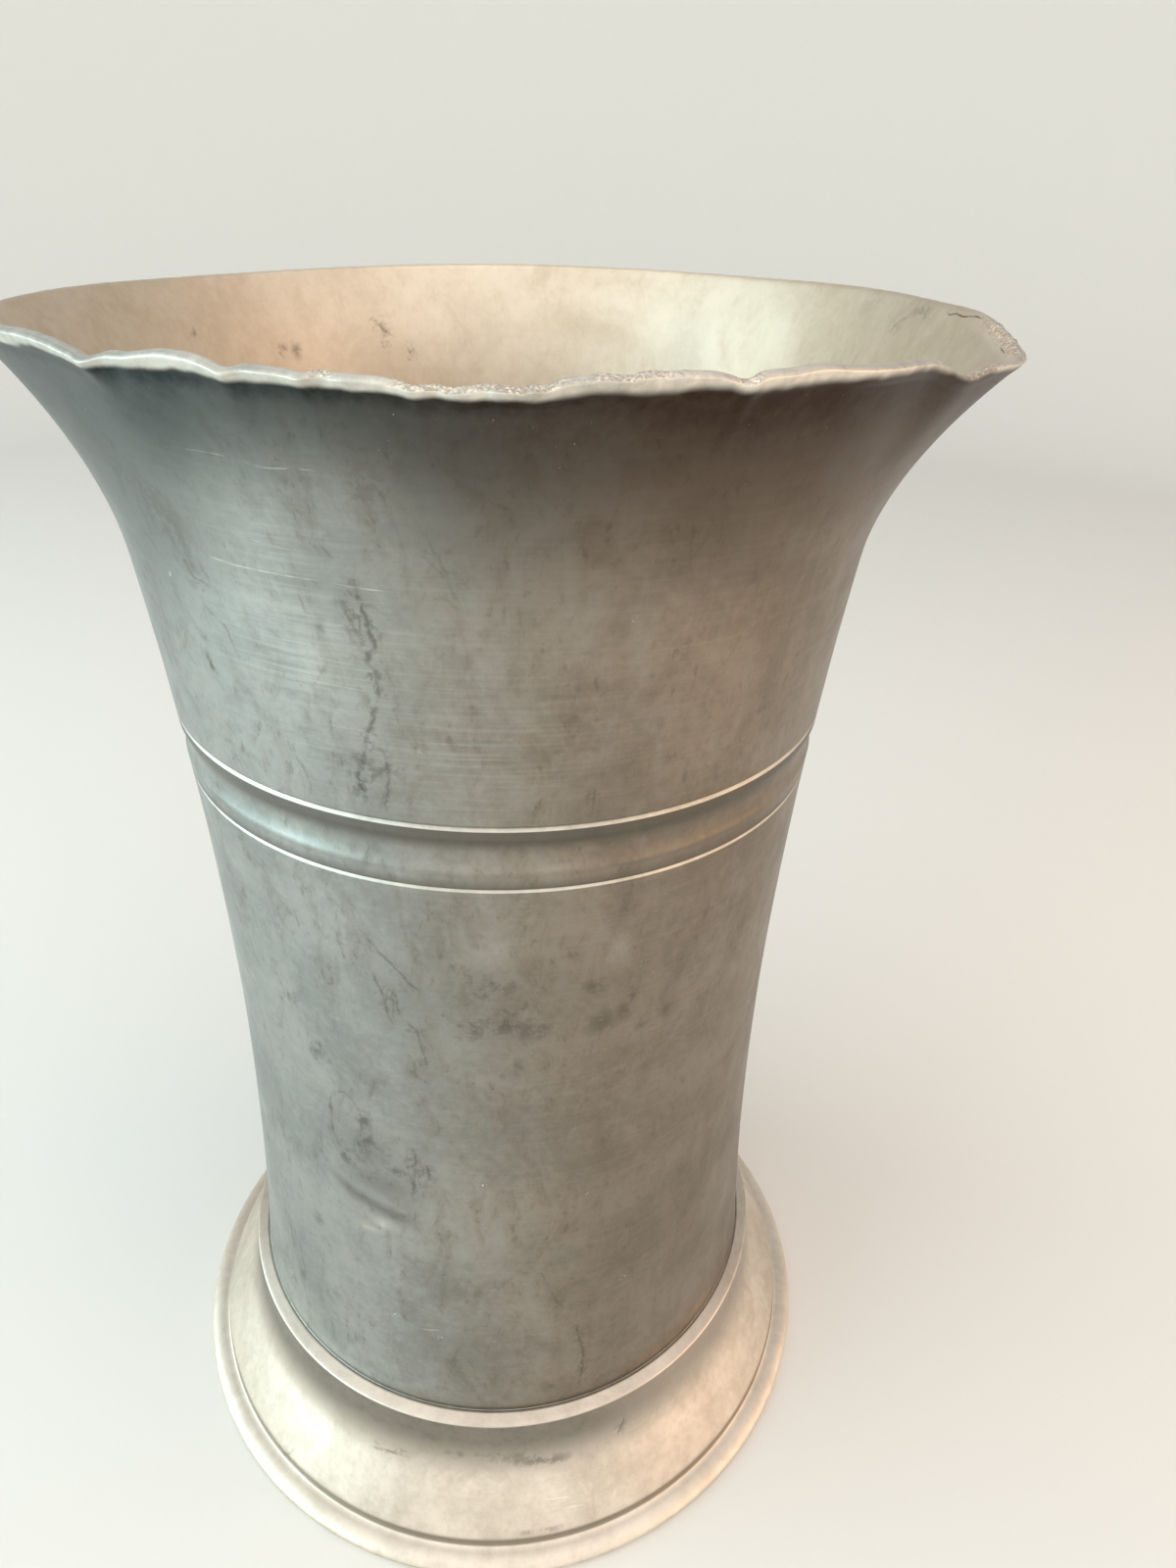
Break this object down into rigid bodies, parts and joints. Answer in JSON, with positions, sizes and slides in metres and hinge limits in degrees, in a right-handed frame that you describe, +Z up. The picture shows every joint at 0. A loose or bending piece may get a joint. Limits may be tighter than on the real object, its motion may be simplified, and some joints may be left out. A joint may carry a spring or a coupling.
{
  "type": "beaker",
  "caption": "Tall metal drinking beaker with a waisted drum, a flared and battered lip, an incised girdle and a spreading moulded foot.",
  "frame": {"origin": "centre of the foot's resting plane, on the axis of the drum", "axes": "+Z up along the axis of the drum, -Y towards the viewer of the picture, +X to the right"},
  "size_m": [0.1048, 0.1048, 0.1659],
  "materials": {
    "wall_pewter": "satin grey pewter with dark patina, fine turning lines and scratches",
    "foot_pewter": "paler satin pewter, worn bright on its edges, grime in the cove",
    "floor_pewter": "dull turned pewter",
    "solder": "pale soft solder"
  },
  "bodies": {
    "root": {"flared_mouth": "wall_pewter", "drum": "wall_pewter", "foot": "foot_pewter", "floor_disc": "floor_pewter", "girdle_solder": "solder", "floor_solder": "solder", "foot_solder": "solder"}
  },
  "joints": []
}
